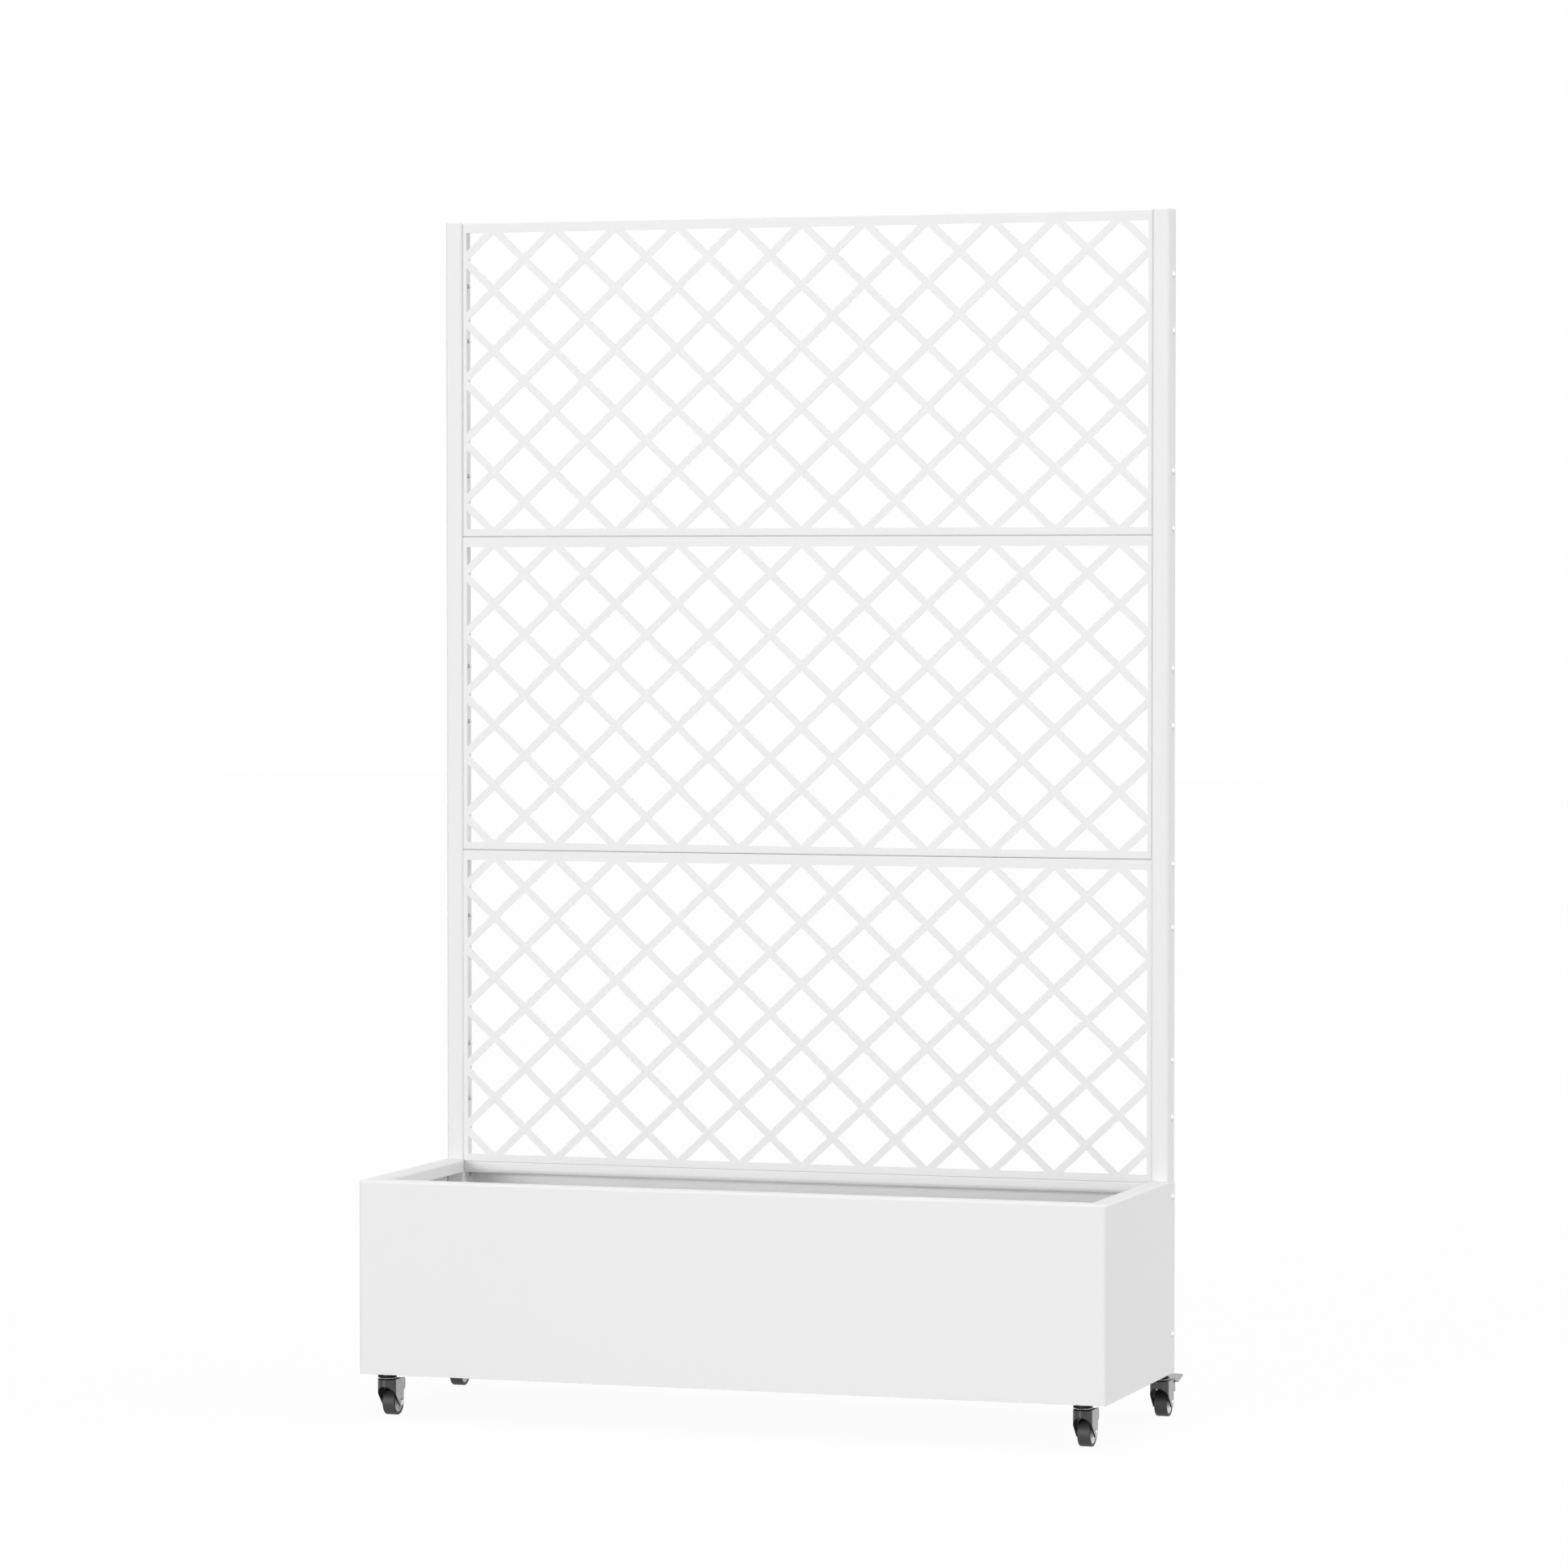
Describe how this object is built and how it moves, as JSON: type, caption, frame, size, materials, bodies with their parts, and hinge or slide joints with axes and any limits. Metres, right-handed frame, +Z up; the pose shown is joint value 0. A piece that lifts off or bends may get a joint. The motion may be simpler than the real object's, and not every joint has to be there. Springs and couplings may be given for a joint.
{
  "type": "privacy screen planter",
  "caption": "folded sheet-steel planter box on swivel casters with rear brakes, carrying a tall lattice privacy screen on square posts",
  "frame": {"origin": "on the floor, under the centre of the whole object's box", "axes": "+Z up, front faces -Y, +X to the right when seen from the front"},
  "size_m": [1.213, 0.4438, 1.873],
  "materials": {
    "painted_steel": "satin",
    "cap_plastic": "satin",
    "plated_bolts": "plated",
    "zinc_plate": "plated",
    "black_race": "satin",
    "fork_steel": "satin",
    "pedal_steel": "satin",
    "brake_zinc": "plated",
    "tyre": "matte",
    "hub_plastic": "matte"
  },
  "bodies": {
    "planter": {"planter_shell": "painted_steel", "rear_panel": "painted_steel", "floor_tray": "painted_steel", "front_rail": "painted_steel", "rear_rail": "painted_steel", "left_post": "painted_steel", "right_post": "painted_steel", "left_post_cap": "cap_plastic", "right_post_cap": "cap_plastic", "left_screen_bolts": "plated_bolts", "right_screen_bolts": "plated_bolts", "left_box_bolts": "plated_bolts", "right_box_bolts": "plated_bolts", "lower_trellis_panel": "painted_steel", "middle_trellis_panel": "painted_steel", "upper_trellis_panel": "painted_steel", "caster_stems": "zinc_plate", "stem_nuts": "zinc_plate", "swivel_races": "black_race"},
    "front_left_caster": {"front_left_fork": "fork_steel", "front_left_axle": "zinc_plate"},
    "front_left_wheel": {"front_left_tyre": "tyre", "front_left_hub": "hub_plastic"},
    "front_right_caster": {"front_right_fork": "fork_steel", "front_right_axle": "zinc_plate"},
    "front_right_wheel": {"front_right_tyre": "tyre", "front_right_hub": "hub_plastic"},
    "rear_left_caster": {"rear_left_fork": "fork_steel", "rear_left_axle": "zinc_plate", "rear_left_brake_pin": "black_race"},
    "rear_left_wheel": {"rear_left_tyre": "tyre", "rear_left_hub": "hub_plastic"},
    "rear_left_brake": {"rear_left_brake_pedal": "pedal_steel", "rear_left_brake_shoe": "brake_zinc"},
    "rear_right_caster": {"rear_right_fork": "fork_steel", "rear_right_axle": "zinc_plate", "rear_right_brake_pin": "black_race"},
    "rear_right_wheel": {"rear_right_tyre": "tyre", "rear_right_hub": "hub_plastic"},
    "rear_right_brake": {"rear_right_brake_pedal": "pedal_steel", "rear_right_brake_shoe": "brake_zinc"}
  },
  "joints": [
    {"name": "front_left_swivel", "type": "hinge", "parent": "planter", "child": "front_left_caster", "pos_m": [-0.56, -0.20436, 0.058], "axis": [0, 0, 1], "continuous": true},
    {"name": "front_left_spin", "type": "hinge", "parent": "front_left_caster", "child": "front_left_wheel", "pos_m": [-0.56, -0.18036, 0.021], "axis": [1, 0, 0], "continuous": true},
    {"name": "front_right_swivel", "type": "hinge", "parent": "planter", "child": "front_right_caster", "pos_m": [0.56, -0.20436, 0.058], "axis": [0, 0, 1], "continuous": true},
    {"name": "front_right_spin", "type": "hinge", "parent": "front_right_caster", "child": "front_right_wheel", "pos_m": [0.56, -0.18036, 0.021], "axis": [1, 0, 0], "continuous": true},
    {"name": "rear_left_swivel", "type": "hinge", "parent": "planter", "child": "rear_left_caster", "pos_m": [-0.5865, 0.15064, 0.058], "axis": [0, 0, 1], "continuous": true},
    {"name": "rear_left_spin", "type": "hinge", "parent": "rear_left_caster", "child": "rear_left_wheel", "pos_m": [-0.5865, 0.17464, 0.021], "axis": [1, 0, 0], "continuous": true},
    {"name": "rear_left_brake_lever", "type": "hinge", "parent": "rear_left_caster", "child": "rear_left_brake", "pos_m": [-0.5865, 0.18464, 0.0535], "axis": [-1, 0, 0], "range_deg": [0, 15]},
    {"name": "rear_right_swivel", "type": "hinge", "parent": "planter", "child": "rear_right_caster", "pos_m": [0.5865, 0.15064, 0.058], "axis": [0, 0, 1], "continuous": true},
    {"name": "rear_right_spin", "type": "hinge", "parent": "rear_right_caster", "child": "rear_right_wheel", "pos_m": [0.5865, 0.17464, 0.021], "axis": [1, 0, 0], "continuous": true},
    {"name": "rear_right_brake_lever", "type": "hinge", "parent": "rear_right_caster", "child": "rear_right_brake", "pos_m": [0.5865, 0.18464, 0.0535], "axis": [-1, 0, 0], "range_deg": [0, 15]}
  ]
}
